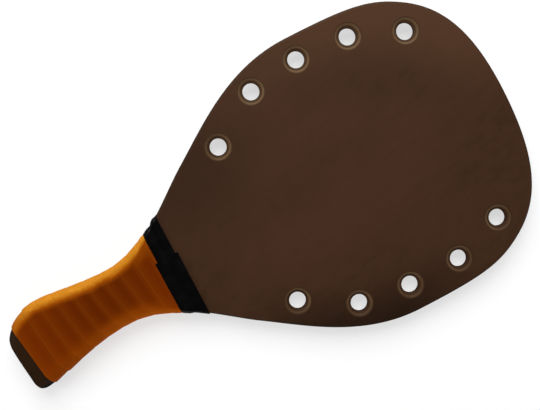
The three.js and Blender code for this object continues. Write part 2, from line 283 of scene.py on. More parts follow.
@dataclass(frozen=True)
class Plan:
    """The racket's outline: both sides alike from the waist to the tip, and an uneven butt."""

    length: float = 443.0
    crown: Point = (304.4, 121.6)
    shoulder: Point = (402.5, 104.0)
    shoulder_fall: float = 0.645
    neck: Point = (184.2, 69.6)
    neck_rise: float = 0.667
    waist: Point = (91.4, 21.7)
    end_peak: float = 1.9
    left_crest: Point = (33.3, 26.6)
    right_crest: Point = (10.3, 38.3)
    heel: Point = (2.5, 29.6)
    heel_rake: float = 0.09
    left_end_share: float = 0.425
    trim_lean: float = 0.2
    head_pulls: tuple[Point, ...] = ((0.36, 0.274), (0.295, 0.39), (0.579, 0.277), (0.305, 0.485))
    left_end_pulls: Point = (0.374, 0.45)
    heel_pulls: Point = (0.205, 0.222)
    right_end_pulls: Point = (0.092, 0.522)
    left_flank_pulls: Point = (0.184, 0.39)
    right_flank_pulls: Point = (0.107, 0.455)
    fine_steps: int = 240
    least_step: float = 1e-6

    def head(self) -> list[PlanCurve]:
        """Gives one side of the head, from the waist to the tip."""
        knots = [
            (self.waist, AHEAD),
            (self.neck, (1.0, self.neck_rise)),
            (self.crown, AHEAD),
            (self.shoulder, (1.0, -self.shoulder_fall)),
            ((self.length, 0.0), (0.0, -1.0)),
        ]
        spans = zip(knots, knots[1:], self.head_pulls)
        return [PlanCurve(*start, *end, pulls) for start, end, pulls in spans]

    def left_end(self) -> PlanCurve:
        """Gives the butt's broad left corner."""
        start = (0.0, self.end_peak)
        return PlanCurve(start, ACROSS, self.left_crest, AHEAD, self.left_end_pulls)

    def right_end(self) -> list[PlanCurve]:
        """Gives the butt's hooked right corner, with its half widths positive."""
        start = (0.0, -self.end_peak)
        heel_way = (self.heel_rake, 1.0)
        return [
            PlanCurve(start, ACROSS, self.heel, heel_way, self.heel_pulls),
            PlanCurve(self.heel, heel_way, self.right_crest, AHEAD, self.right_end_pulls),
        ]

    def flank(self, side: Side) -> list[PlanCurve]:
        """Gives the handle's edge from the butt's corner to the waist."""
        if side is Side.LEFT:
            flank = PlanCurve(self.left_crest, AHEAD, self.waist, AHEAD, self.left_flank_pulls)
            return [self.left_end(), flank]
        return [PlanCurve(self.right_crest, AHEAD, self.waist, AHEAD, self.right_flank_pulls)]

    def half_width(self, side: Side, x: Array) -> tuple[Array, Array]:
        """Measures one side's half width and slope. Close to the butt it runs on straight.

        Args:
            side: Which edge.
            x: Distances from the butt.

        Returns:
            The half widths and the slopes.
        """
        curves = self.flank(side) + self.head()
        samples = np.concatenate([c.points(self.fine_steps) for c in curves])
        keep = np.concatenate([[True], np.diff(samples[:, 0]) > self.least_step])
        xs, ys = samples[keep, 0], samples[keep, 1]
        slopes = np.gradient(ys, xs)
        straight = self.right_crest[0]
        if side is Side.LEFT:
            straight = float(self.left_end().points(1, self.left_end_share)[-1, 0])
        at = np.maximum(x, straight)
        width, slope = np.interp(at, xs, ys), np.interp(at, xs, slopes)
        leaned = np.where(x < straight, slope - self.trim_lean, slope)
        return width - np.where(x < straight, leaned * (straight - x), 0.0), leaned


@dataclass(frozen=True)
class HandleForm:
    """The handle's section along its length: round at the butt, a flat bar at the neck."""

    plan: Plan = Plan()
    blade_half: float = 5.0
    scale_thickness: float = 6.0
    end_thickness: float = 1.4
    end_from_butt: float = 148.4
    thinning_from: float = 91.4
    squaring_from: float = 111.4
    edge_flat: float = 1.5
    end_round: float = 2.0

    def heights(self, x: Array) -> tuple[Array, Array]:
        """Measures the section's half height and the height of its rounding at x."""
        thinned = eased((x - self.thinning_from) / (self.end_from_butt - self.thinning_from))
        squared = eased((x - self.squaring_from) / (self.end_from_butt - self.squaring_from))
        thick = self.blade_half + self.scale_thickness
        half = thick + (self.end_thickness - self.scale_thickness) * thinned
        full_round = half - self.edge_flat
        return half, full_round + (self.end_round - full_round) * squared

    def skin(self, x: Array, station: Array, level: Array) -> Array:
        """Finds points on the handle or raised above it.

        Args:
            x: Distances from the butt.
            station: Places round the section, 20 to a turn, from the left edge over the front.
            level: Heights above the wood.

        Returns:
            The points, with a last axis of 3.
        """
        x, station, level = np.broadcast_arrays(
            np.asarray(x, float), np.asarray(station, float), np.asarray(level, float)
        )
        half, rounding = self.heights(x)
        reach, depth = {}, {}
        for side in Side:
            width, slope = self.plan.half_width(side, x)
            spread = np.hypot(1, slope)
            reach[side] = width + level * spread
            depth[side] = (rounding + level) * spread
        wrapped = np.mod(station, STATIONS_PER_TURN)
        half_turn = STATIONS_PER_TURN / 2
        behind = wrapped >= half_turn
        along = np.where(behind, wrapped - half_turn, wrapped)
        face = np.where(behind, -1.0, 1.0)

        def quarter(sign: Array, share: Array) -> tuple[Array, Array]:
            """Walks one rounded edge from its widest place up to the face."""
            angle = math.pi / 2 * np.clip(share, 0, 1)
            out = np.where(sign > 0, reach[Side.LEFT], reach[Side.RIGHT])
            deep = np.where(sign > 0, depth[Side.LEFT], depth[Side.RIGHT])
            across = sign * (out - deep * (1 - np.cos(angle)))
            return across, face * (half - rounding + (rounding + level) * np.sin(angle))

        first_y, first_z = quarter(face, along / FACE_START)
        last_y, last_z = quarter(-face, (EDGE_STATION - along) / FACE_START)
        flat = np.clip((along - FACE_START) / (FACE_END - FACE_START), 0, 1)
        y = first_y + (last_y - first_y) * flat
        z = first_z + (last_z - first_z) * flat
        z = z * (1 - 2 * np.clip(along - EDGE_STATION, 0, 1))
        return np.stack([x, y, z], axis=-1)


# Shader groups


@dataclass
class Wiring:
    """Adds and joins nodes of one tree in few words."""

    tree: Tree

    def add(self, kind: str, **settings: object) -> Node:
        """Adds a shader node and sets its properties."""
        node = self.tree.nodes.new(f"ShaderNode{kind}")
        for key, value in settings.items():
            setattr(node, key, value)
        return node

    def feed(self, node: Node, label: str | int, value: object) -> None:
        """Sets an input socket, or links it where the value is a socket."""
        socket = node.inputs[label]
        if isinstance(value, Socket):
            self.tree.links.new(value, socket)
        else:
            socket.default_value = value

    def fed(self, kind: str, *values: object, **settings: object) -> Node:
        """Adds a node and feeds its first inputs."""
        node = self.add(kind, **settings)
        for index, value in enumerate(values):
            self.feed(node, index, value)
        return node

    def named(self, node: Node, **values: object) -> Node:
        """Feeds a node's inputs by their labels, with underscores for spaces."""
        for label, value in values.items():
            self.feed(node, label.replace("_", " "), value)
        return node

    def math(self, operation: str, *values: Value, clamp: bool = False) -> Socket:
        """Adds a math node on the given values and returns its result."""
        return self.fed("Math", *values, operation=operation, use_clamp=clamp).outputs[0]

    def times(self, value: Value, share: Value, plus: Value | None = None) -> Socket:
        """Multiplies a value by a share, and adds a third value where one is given."""
        if plus is None:
            return self.math("MULTIPLY", value, share)
        return self.math("MULTIPLY_ADD", value, share, plus)

    def rest(self, share: Value) -> Socket:
        """Gives what a share leaves of 1."""
        return self.math("SUBTRACT", 1.0, share)

    def vector(self, operation: str, *values: object) -> Socket:
        """Adds a vector node on the given vectors and returns its result."""
        node = self.fed("VectorMath", *values, operation=operation)
        return node.outputs["Value" if operation in ("DOT_PRODUCT", "LENGTH") else "Vector"]

    def split(self, vector: Socket) -> list[Socket]:
        """Parts a vector into its three values."""
        return list(self.fed("SeparateXYZ", vector).outputs)

    def combine(self, *values: Value) -> Socket:
        """Makes a vector from up to three values."""
        return self.fed("CombineXYZ", *values).outputs[0]

    def stretch(self, vector: Socket, scale: Triple, turn: float = 0.0) -> Socket:
        """Turns a vector about z, in degrees, and then scales it along its own axes."""
        if turn:
            way = (0, 0, math.radians(-turn))
            vector = self.named(self.add("Mapping"), Vector=vector, Rotation=way).outputs[0]
        return self.named(self.add("Mapping"), Vector=vector, Scale=scale).outputs[0]

    def mapped(self, label: str) -> list[Socket]:
        """Reads one of the piece's own maps and returns its two values."""
        return self.split(self.add("UVMap", uv_map=label).outputs[0])[:2]

    def noise(self, vector: Socket, detail: float, rough: float = 0.5, bend: float = 0) -> Socket:
        """Adds a noise on a scaled vector and returns its value."""
        node = self.named(self.add("TexNoise"), Vector=vector, Scale=1.0, Detail=detail)
        return self.named(node, Roughness=rough, Distortion=bend).outputs["Fac"]

    def span(self, value: Value, low: Value, high: Value, smooth: bool = True) -> Socket:
        """Maps a value's span from low to high onto 0 to 1."""
        node = self.add("MapRange", interpolation_type="SMOOTHSTEP" if smooth else "LINEAR")
        return self.named(node, Value=value, From_Min=low, From_Max=high).outputs["Result"]

    def mix(self, share: Value, first: Socket | Color, second: Socket | Color) -> Socket:
        """Mixes two colours by a share and returns the colour."""
        node = self.fed("Mix", share, data_type="RGBA")
        for index, color in ((6, first), (7, second)):
            self.feed(node, index, color if isinstance(color, Socket) else (*color, 1.0))
        return node.outputs[2]

    def tint(
        self, color: Socket | Color, other: Socket | Color, mask: Value, share: Value
    ) -> Socket:
        """Mixes a colour into another by a share of a mask and returns the colour."""
        return self.mix(self.times(mask, share), color, other)

    def bump(self, height: Socket, depth: float, strength: float) -> Socket:
        """Adds a bump of a given depth in millimetres and returns its normal."""
        sizes = {"Strength": strength, "Distance": depth * MM}
        return self.named(self.add("Bump"), Height=height, **sizes).outputs["Normal"]

    def group(self, tree: Tree, **values: object) -> Node:
        """Places a group and feeds its inputs."""
        return self.named(self.add("Group", node_tree=tree), **values)


def new_group(
    name: str, inputs: dict[str, float | None], outputs: list[str]
) -> tuple[Wiring, Node, Node]:
    """Starts a shader group with named sockets.

    Args:
        name: The group's name.
        inputs: Socket names with their default values, or None for a vector.
        outputs: Names of its mask or value outputs.

    Returns:
        The wiring of its tree, and its input and output nodes.
    """
    group = bpy.data.node_groups.new(name, "ShaderNodeTree")
    for label, value in inputs.items():
        kind = "NodeSocketVector" if value is None else "NodeSocketFloat"
        socket = group.interface.new_socket(label, in_out="INPUT", socket_type=kind)
        if value is not None:
            socket.default_value = value
    for label in outputs:
        group.interface.new_socket(label, in_out="OUTPUT", socket_type="NodeSocketFloat")
    return Wiring(group), group.nodes.new("NodeGroupInput"), group.nodes.new("NodeGroupOutput")


def wood_figure() -> Tree:
    """Makes the wood's figure: streaks and pores that lean a little off the long axis."""
    # For each mask its noise's scale along x, y and z, its lean in degrees, its detail, roughness
    # and bend, and the span of the noise that it keeps
    layers = {
        "Streak": ((34, 330, 90), 14, (5, 0.62, 0.4), (0.2, 0.8)),
        "Pore": ((160, 2300, 500), 9, (3, 0.6), (0.6, 0.74)),
        "Cloud": ((11, 15, 8), 0, (3, 0.5), (0.35, 0.65)),
        "Mottle": ((75, 150, 60), 18, (4, 0.55, 0.8), (0.32, 0.68)),
    }
    wires, start, end = new_group("wood figure", {"Place": None, "Seed": 0.0}, list(layers))
    seed = start.outputs["Seed"]
    place = wires.vector("ADD", start.outputs["Place"], wires.combine(seed, seed, seed))
    for label, (scale, lean, grain, kept) in layers.items():
        value = wires.noise(wires.stretch(place, scale, lean), *grain)
        wires.feed(end, label, wires.span(value, *kept))
    return wires.tree


def rim_mask() -> Tree:
    """Makes a mask that is 1 on rims and arrises and 0 on the faces, from how a face leans."""
    wires, start, end = new_group("rim", {"Steep": 0.45, "Flat": 0.97}, ["Rim"])
    steep, flat = start.outputs[:2]
    lean = wires.split(wires.add("TexCoord").outputs["Normal"])[2]
    level = wires.span(wires.math("ABSOLUTE", lean), steep, flat)
    wires.feed(end, "Rim", wires.rest(level))
    return wires.tree


def depth_mask() -> Tree:
    """Makes a mask over a band of heights off the blade's middle, on both sides, in millimetres."""
    labels = {"Place": None, "Low": 2.3, "Low full": 3.6, "High full": 4.2, "High": 4.75}
    wires, start, end = new_group("depth band", labels, ["Band"])
    place, low, low_full, high_full, high = start.outputs[:5]
    level = wires.math("SUBTRACT", wires.split(place)[2], ORIGIN.z)
    level = wires.math("DIVIDE", wires.math("ABSOLUTE", level), MM)
    rising, falling = wires.span(level, low, low_full), wires.span(level, high_full, high)
    wires.feed(end, "Band", wires.math("SUBTRACT", rising, falling, clamp=True))
    return wires.tree


def patch_mask() -> Tree:
    """Makes a mask that is 1 in an oval patch and fades out round it, in millimetres."""
    labels = {"Place": None, "From butt": 84.0, "Across": 6.0, "Core": 5.0, "Reach": 50.0}
    wires, start, end = new_group("patch", {**labels, "Long": 0.6}, ["Patch"])
    place, from_butt, across, core, reach, long = start.outputs[:6]
    middle = wires.combine(wires.times(from_butt, MM, ORIGIN.x), wires.times(across, MM, ORIGIN.y))
    away = wires.vector("SUBTRACT", place, middle)
    away = wires.vector("LENGTH", wires.vector("MULTIPLY", away, wires.combine(long, 1.0)))
    tip_light = wires.span(wires.math("DIVIDE", away, MM), core, reach)
    wires.feed(end, "Patch", wires.rest(tip_light))
    return wires.tree


@dataclass
class Groups:
    """The shader groups that the finishes share."""

    figure: Tree = field(default_factory=wood_figure)
    rim: Tree = field(default_factory=rim_mask)
    depth: Tree = field(default_factory=depth_mask)
    patch: Tree = field(default_factory=patch_mask)


@dataclass(frozen=True)
class Patch:
    """An oval place on the racket, its full core and its reach.

    Long is how much shorter a length along the racket counts than one across it, and share how
    much of the patch's colour is laid on.
    """

    from_butt: float
    across: float
    core: float
    reach: float
    long: float = 0.6
    share: float = 1.0


@dataclass
class Canvas(Wiring):
    """The wiring of one material, with the shared groups and each point's place in the frame."""

    groups: Groups
    place: Socket

    def figure(self, seed: float) -> dict[str, Socket]:
        """Places the wood's figure and gives its masks by name."""
        node = self.group(self.groups.figure, Place=self.place, Seed=seed)
        return dict(node.outputs.items())

    def patch(self, patch: Patch) -> Socket:
        """Places an oval patch and gives its mask."""
        sizes = {"From_butt": patch.from_butt, "Across": patch.across, "Core": patch.core}
        node = self.group(self.groups.patch, Place=self.place, **sizes)
        return self.named(node, Reach=patch.reach, Long=patch.long).outputs[0]


# Finishes


@dataclass(frozen=True)
class Finish:
    """What all finishes share: a name, and a shader that their coat is laid on."""

    name: str

    def coat(self, canvas: Canvas) -> Coat:
        """Wires up the look, which each kind of finish does in its own way.

        Args:
            canvas: The material's wiring.

        Returns:
            The colour, the roughness and the normal.
        """
        raise NotImplementedError

    def material(self, groups: Groups) -> Material:
        """Builds the finish from the shared groups and its own coat."""
        material = bpy.data.materials.new(self.name)
        material.use_nodes = True
        canvas = Canvas(material.node_tree, groups, None)
        canvas.place = canvas.add("TexCoord").outputs["Object"]
        color, rough, normal = self.coat(canvas)
        shader = canvas.named(material.node_tree.nodes["Principled BSDF"], Base_Color=color)
        canvas.named(shader, Roughness=rough, Normal=normal, Specular_IOR_Level=self.shine)
        return material


@dataclass(frozen=True)
class StainedWood(Finish):
    """Dark stained veneer under a thin satin varnish, nearly black along its arrises."""

    light: Color
    dark: Color
    warm: Color
    tip_light: Color
    rim: Color
    seed: float = 0.0
    shine: float = 0.06
    middle_sheen: Patch = Patch(262.0, 12.0, 24.0, 104.0, share=0.45)
    neck: Patch = Patch(175.0, 60.0, 12.0, 68.0, share=0.6)
    inland: Patch = Patch(300.0, 0.0, 68.0, 122.0, long=0.8)
    tip: Patch = Patch(395.0, 95.0, 40.0, 120.0, share=0.8)
    right_edge_shade: Patch = Patch(258.0, -110.0, 15.0, 74.0, share=0.75)

    def coat(self, canvas: Canvas) -> Coat:
        """Clouds, streaks and pores the stain, and lays painted light, shade and sheen over it."""
        figure = canvas.figure(self.seed)
        rim = canvas.group(canvas.groups.rim).outputs[0]
        # Painted sheen: the middle of the face is painted lighter.
        tone = canvas.times(canvas.patch(self.middle_sheen), self.middle_sheen.share, -0.1)
        for label, share in (("Cloud", 0.45), ("Streak", 0.27), ("Mottle", 0.18)):
            tone = canvas.times(figure[label], share, tone)
        color = canvas.mix(tone, self.dark, self.light)
        color = canvas.tint(color, self.warm, figure["Mottle"], 0.4)
        # Painted shade near the neck's left edge.
        shaded = dimmed(self.dark, 0.8)
        color = canvas.tint(color, shaded, canvas.patch(self.neck), self.neck.share)
        # Painted light towards the tip on the left, and painted shade along the right edge, both
        # kept near the border.
        border = canvas.rest(canvas.patch(self.inland))
        for patch, other in ((self.tip, self.tip_light), (self.right_edge_shade, dimmed(self.dark, 0.25))):
            mask = canvas.times(border, canvas.patch(patch))
            color = canvas.tint(color, other, mask, patch.share)
        color = canvas.tint(color, dimmed(self.dark, 0.45), figure["Pore"], 0.4)
        # The rims and arrises are painted nearly black: partly a dark edge stain, partly painted
        # shade on the rounding.
        color = canvas.mix(rim, color, self.rim)
        rough = canvas.times(rim, 0.35, canvas.times(figure["Mottle"], 0.14, 0.44))
        height = canvas.times(figure["Streak"], 0.25, canvas.times(figure["Pore"], -1.0))
        return color, rough, canvas.bump(height, 0.03, 0.6)


@dataclass(frozen=True)
class CutVeneer(Finish):
    """Bare veneer where a hole or an edge cuts through it, with its fibres' ends showing."""

    tone: Color
    fibre: Color
    dusk: Color
    seed: float = 0.0
    shine: float = 0.1
    rough: float = 0.68
    right_side_shade: float = 0.28
    middle_x: float = 0.0785
    side_lean: float = 0.6
    right_side: Point = (0.16, -0.02)
    left_side: Point = (-0.03, 0.1)
    inward: Point = (0.3, -0.5)
    softening: Triple = (0.55, 0.55, 1)

    def coat(self, canvas: Canvas) -> Coat:
        """Spots the wood with fibres' ends, and darkens it by its depth, its side and its wall."""
        x, y, _ = canvas.split(canvas.place)
        grain = canvas.noise(canvas.stretch(canvas.place, (900, 900, 2600)), 3, 0.6)
        color = canvas.tint(self.tone, self.fibre, canvas.span(grain, 0.4, 0.7), 0.6)
        color = canvas.tint(color, self.fibre, canvas.figure(self.seed)["Mottle"], 0.25)
        away = canvas.combine(canvas.math("SUBTRACT", x, self.middle_x), y)
        normal = canvas.add("NewGeometry").outputs["Normal"]
        facing = canvas.vector("DOT_PRODUCT", canvas.vector("NORMALIZE", away), normal)
        # Painted shade: the cut is darker towards the right side of the head, and darker on walls
        # that face inwards, more so on the right.
        rightwards = canvas.span(canvas.times(x, self.side_lean, y), *self.right_side)
        inward_shade_share = canvas.times(rightwards, 0.3, 0.2)
        color = canvas.tint(color, self.dusk, canvas.span(facing, *self.inward), inward_shade_share)
        color = canvas.tint(color, self.dusk, rightwards, self.right_side_shade)
        # Deep in the bore the cut is painted dark as shade; near the face's lip the dark is the
        # stain. On the left side a little more of the cut's colour stays deep down.
        band = canvas.group(canvas.groups.depth, Place=canvas.place).outputs[0]
        thin = canvas.times(canvas.span(y, *self.left_side), 0.12, 0.13)
        color = canvas.mix(canvas.math("MAXIMUM", band, thin), self.dusk, color)
        soft = canvas.stretch(canvas.bump(grain, 0.05, 0.5), self.softening)
        return color, self.rough, canvas.vector("NORMALIZE", soft)


@dataclass(frozen=True)
class TackyGrip(Finish):
    """Soft orange overgrip, painted light on its flanks, browned where the palm rests on its flats.

    The spans are in metres along the racket, in stations from an edge, or in millimetres across
    the strip from its covered edge, or along it.
    """

    lit_flank: Color
    between: Color
    lower: Color
    flat: Color
    handled: Color
    groove: Color
    edge: Color
    shine: float = 0.01
    palm: Patch = Patch(84.0, 6.0, 5.0, 50.0)
    butt_end: Point = (-0.187, -0.218)
    tape_end: Point = (-0.121, -0.094)
    left_band: Point = (3.0, 1.45)
    left_crest: Point = (2.1, 0.9)
    right_band: Point = (3.6, 0.4)
    lower_light_rise: Point = (50.0, 1150.0)
    lap_light: Point = (8.5, 0.0)
    lap_rise: Point = (9.5, 13.4)
    lap_edge: Point = (0.0, 2.2)
    lap_groove: Point = (12.6, 13.4)

    def coat(self, canvas: Canvas) -> Coat:
        """Colours the strip by its own maps, which run along it, across it and round the handle."""
        place, span, times = canvas.place, canvas.span, canvas.times
        wound, v = canvas.mapped("strip")
        from_left, from_right = canvas.mapped("section")
        wavy = times(canvas.noise(canvas.stretch(place, (70, 70, 70)), 3, 0.5), 0.9, -0.45)
        x = canvas.split(place)[0]
        inwards = canvas.math("ADD", from_left, wavy)
        inwards = times(span(x, *self.tape_end), -0.6, inwards)
        left = span(inwards, *self.left_band)
        right = span(canvas.math("ADD", from_right, wavy), *self.right_band)
        flat = canvas.mix(canvas.patch(self.palm), self.flat, self.handled)
        # Painted light and shade along each turn: lighter on both sides of a lap's edge, darker
        # between.
        lap_sawtooth = span(v, *self.lap_light, smooth=False)
        lap_sawtooth = canvas.math("MAXIMUM", lap_sawtooth, times(span(v, *self.lap_rise), 0.7))
        flat = canvas.tint(flat, self.lower, lap_sawtooth, 0.075)
        # Painted light on the right flank, which grows along the strip towards the tape.
        kept = times(span(wound, *self.lower_light_rise), 0.65, 0.35)
        color = canvas.tint(flat, self.lower, right, kept)
        # Painted light on the left flank: a lighter band over the flats, which fades out towards
        # the butt, with a painted highlight on its crest and lighter mottling within it.
        color = canvas.mix(span(left, 0.0, 0.5, smooth=False), color, self.between)
        handled = times(span(x, *self.butt_end), -0.85, 1.0)
        lit_flank = times(span(left, 0.5, 1.0, smooth=False), handled)
        color = canvas.mix(lit_flank, color, self.lit_flank)
        crest = times(span(inwards, *self.left_crest), lit_flank)
        color = canvas.tint(color, self.edge, crest, 0.35)
        mottle = canvas.noise(canvas.stretch(place, (230, 260, 260)), 3, 0.55)
        speckle = times(span(mottle, 0.45, 0.72), 0.5)
        color = canvas.tint(color, self.edge, speckle, lit_flank)
        # A faint painted highlight on each lap's edge, and painted shade in the crease where the
        # next turn laps.
        color = canvas.tint(color, self.edge, canvas.rest(span(v, *self.lap_edge)), 0.03)
        color = canvas.tint(color, self.groove, span(v, *self.lap_groove), 0.1)
        fine = canvas.noise(canvas.stretch(place, (2600, 2600, 2600)), 2, 0.5)
        return color, times(fine, 0.2, 0.5), canvas.bump(times(mottle, 1.2, fine), 0.08, 0.4)


@dataclass(frozen=True)
class StretchedTape(Finish):
    """Black elastic tape, glossy where it is pulled tight, with stretch lines along it."""

    tone: Color
    bloom: Color
    shine: float = 0.06

    def coat(self, canvas: Canvas) -> Coat:
        """Dusts the tape in patches and draws its stretch lines along the strip's own map."""
        along = canvas.add("UVMap", uv_map="strip").outputs[0]
        lines = canvas.noise(canvas.stretch(along, (0.05, 1.3, 1)), 4, 0.6)
        patch = canvas.noise(canvas.stretch(canvas.place, (120, 120, 120)), 3, 0.5)
        color = canvas.tint(self.tone, self.bloom, canvas.span(patch, 0.45, 0.75), 0.4)
        height = canvas.times(patch, 0.8, lines)
        return color, canvas.times(patch, 0.3, 0.14), canvas.bump(height, 0.1, 0.35)


# Sub-assemblies


@dataclass
class CountersunkHoles:
    """Ten through holes along the head's rim, countersunk from both faces."""

    radius: float = 6.8
    mouth: float = 11.2
    depth: float = 3.6
    eased_edge: float = 0.3
    edge_flare: float = 0.8
    along: Row = (0.494, 0.592, 0.69, 0.791, 0.888)
    left_across: Row = (0.751, 0.845, 0.847, 0.834, 0.762)
    right_across: Row = (0.745, 0.822, 0.822, 0.825, 0.769)
    overrun: float = 3.0
    overrun_flare: float = 3.0
    corners: int = 72

    def centres(self, plan: Plan) -> list[Point]:
        """Finds the holes' middles in the plan."""
        found = []
        for side, shares in ((Side.LEFT, self.left_across), (Side.RIGHT, self.right_across)):
            for along, across in zip(self.along, shares):
                x = along * plan.length
                width = float(plan.half_width(side, np.array([x]))[0][0])
                found.append((x, side.value * across * width))
        return found

    def cutter(self, form: HandleForm) -> Piece:
        """Builds the solid of all ten holes.

        Args:
            form: The blade's half thickness and plan.

        Returns:
            The cutter, from a circle drawn out from level to level.
        """
        half = form.blade_half
        flare = (self.mouth - self.radius) / self.depth
        land = half - self.depth
        soft = half - self.eased_edge
        soft_radius = self.radius + flare * (soft - land)
        mouth = self.mouth + self.eased_edge * self.edge_flare
        upper = [(land, self.radius), (soft, soft_radius), (half, mouth)]
        upper.append((half + self.overrun, mouth + self.overrun * self.overrun_flare))
        profile = [(-z, r) for z, r in reversed(upper)] + upper
        cutters = []
        for x, y in self.centres(form.plan):
            at = ORIGIN + Vector((x, y, profile[0][0])) * MM
            deselect()
            bpy.ops.mesh.primitive_circle_add(
                vertices=self.corners, radius=profile[0][1] * MM, fill_type="NGON", location=at
            )
            with editing():
                for (z, r), (next_z, next_r) in zip(profile, profile[1:]):
                    rise = Vector((0, 0, next_z - z)) * MM
                    bpy.ops.mesh.extrude_region_move(TRANSFORM_OT_translate={"value": rise})
                    centre = ORIGIN + Vector((x, y, next_z)) * MM
                    size = next_r / r
                    bpy.ops.transform.resize(value=(size, size, 1), center_override=centre)
                face_outwards()
            cutters.append(bpy.context.object)
        pick(cutters[0])
        for cutter in cutters:
            cutter.select_set(True)
        bpy.ops.object.join()
        bpy.ops.object.transform_apply(location=True, rotation=True, scale=True)
        return cutters[0]


@dataclass
class Blank:
    """The glued wooden blank, shaped in one piece and then parted at its glue lines."""

    form: HandleForm = HandleForm()
    holes: CountersunkHoles = field(default_factory=CountersunkHoles)
    face_veneer: float = 1.4
    long_ply: float = 1.45
    core_ply: float = 1.4
    rim_radius: float = 2.0
    butt_radius: float = 2.5
    rim_facets: int = 6
    lap: float = 0.5
    glue: float = 0.006
    clear: float = 60.0
    overrun: float = 4.0
    head_steps: tuple[int, ...] = (30, 44, 36, 34)
    corner_steps: tuple[int, int] = (20, 24)
    dense_until: float = 60.0
    handle_rings: tuple[int, int] = (49, 61)
    edge_points: int = 17

    def plate(self, name: str, outline: Array, half: float, radius: float) -> Piece:
        """Builds a plate of a plan outline with both rims rounded.

        Args:
            name: The piece's name.
            outline: The outline's points, in millimetres.
            half: Half its thickness.
            radius: The rims' radius.

        Returns:
            The plate.
        """
        deselect()
        bpy.ops.mesh.primitive_circle_add(vertices=len(outline), radius=1, fill_type="NGON")
        piece = bpy.context.object
        piece.name = piece.data.name = name
        flat = np.column_stack([outline, np.full(len(outline), -half)])
        piece.data.vertices.foreach_set("co", placed(flat))
        piece.data.update()
        with editing():
            bpy.ops.mesh.select_all(action="SELECT")
            rise = Vector((0, 0, 2 * half * MM))
            bpy.ops.mesh.extrude_region_move(TRANSFORM_OT_translate={"value": rise})
            face_outwards()
            bpy.ops.mesh.select_all(action="DESELECT")
            bpy.ops.mesh.select_mode(type="EDGE")
        for edge in piece.data.edges:
            levels = [piece.data.vertices[v].co.z for v in edge.vertices]
            edge.select = abs(levels[0] - levels[1]) < half * MM
        with editing():
            bpy.ops.mesh.bevel(
                offset=radius * MM, segments=self.rim_facets, profile=0.5, clamp_overlap=False
            )
        return piece

    def blade(self) -> Piece:
        """Builds the blade's plate from the neck to the tip."""
        plan = self.form.plan
        half = [c.points(n)[:-1] for c, n in zip(plan.head(), self.head_steps)]
        left = np.concatenate([*half, [[plan.length, 0.0]]])
        outline = np.concatenate([left[:-1] * [1, -1], left[::-1]])
        piece = self.plate("blade", outline, self.form.blade_half, self.rim_radius)
        kept_between(piece, 0, self.form.end_from_butt - self.lap, 2 * plan.length)
        return piece

    def handle(self) -> Piece:
        """Builds the handle's flanks and trims them to the butt's uneven plan."""
        form, plan = self.form, self.form.plan
        dense = np.linspace(-self.overrun, self.dense_until, self.handle_rings[0])
        spare = np.linspace(self.dense_until, form.end_from_butt, self.handle_rings[1])
        x = np.concatenate([dense, spare[1:]])
        edges = ((0, FACE_START), (FACE_END, EDGE_STATION))
        station = np.concatenate([np.linspace(*edge, self.edge_points) for edge in edges])
        station = np.concatenate([station, station + STATIONS_PER_TURN / 2])
        flanks = laid_grid("handle", form.skin(x[:, None], station[None, :], 0.0))
        left_steps, right_steps = self.corner_steps
        left = plan.left_end().points(left_steps, plan.left_end_share)[::-1][:-1]
        right = np.concatenate([c.points(right_steps)[:-1] for c in plan.right_end()])
        far = form.end_from_butt + self.overrun
        corners = [
            [plan.right_crest[0], -plan.right_crest[1]],
            [plan.right_crest[0], -self.clear],
            [far, -self.clear],
            [far, self.clear],
            [left[0, 0], self.clear],
        ]
        outline = np.concatenate([left, right * [1, -1], corners])
        thick = form.blade_half + form.scale_thickness
        cut_with(flanks, self.plate("butt", outline, thick, self.butt_radius), Cut.KEEP_SHARED)
        return flanks

    def parts(self) -> dict[str, tuple[float, float]]:
        """Lists each wooden piece's lower and upper level. The last saw cut clears the face."""
        first = self.core_ply / 2
        second = first + self.long_ply
        third = self.form.blade_half - self.face_veneer
        face = self.form.blade_half + self.glue
        front = {
            "long_ply": (first, second),
            "cross_ply": (second, third),
            "face_veneer": (third, face),
            "handle_scale": (face, 4 * face),
        }
        found = {"core_ply": (-first, first)}
        for name, (low, high) in front.items():
            found[f"front_{name}"] = (low, high)
            found[f"back_{name}"] = (-high, -low)
        return found

    def make(self, finishes: dict[str, tuple[str, ...]]) -> None:
        """Shapes the blank, parts it and dresses its pieces.

        Args:
            finishes: For each kind of piece its slot, its face's and its cut's material.
        """
        blank = self.blade()
        cut_with(blank, self.handle(), Cut.JOIN)
        blank.data.materials.append(bpy.data.materials["stained face"])
        cutter = self.holes.cutter(self.form)
        cutter.data.materials.append(bpy.data.materials["cut face veneer"])
        cut_with(blank, cutter, Cut.TAKE_AWAY)
        for node, (low, high) in self.parts().items():
            piece = copied(blank, f"{node}_wood")
            kept_between(piece, 2, low, high)
            slot, *names = finishes[node.removeprefix("front_").removeprefix("back_")]
            for index, name in enumerate(names):
                piece.data.materials[index] = bpy.data.materials[name]
            smoothed(piece, WOOD_ARRIS)
            hand_over(piece, node)
        bpy.data.objects.remove(blank)


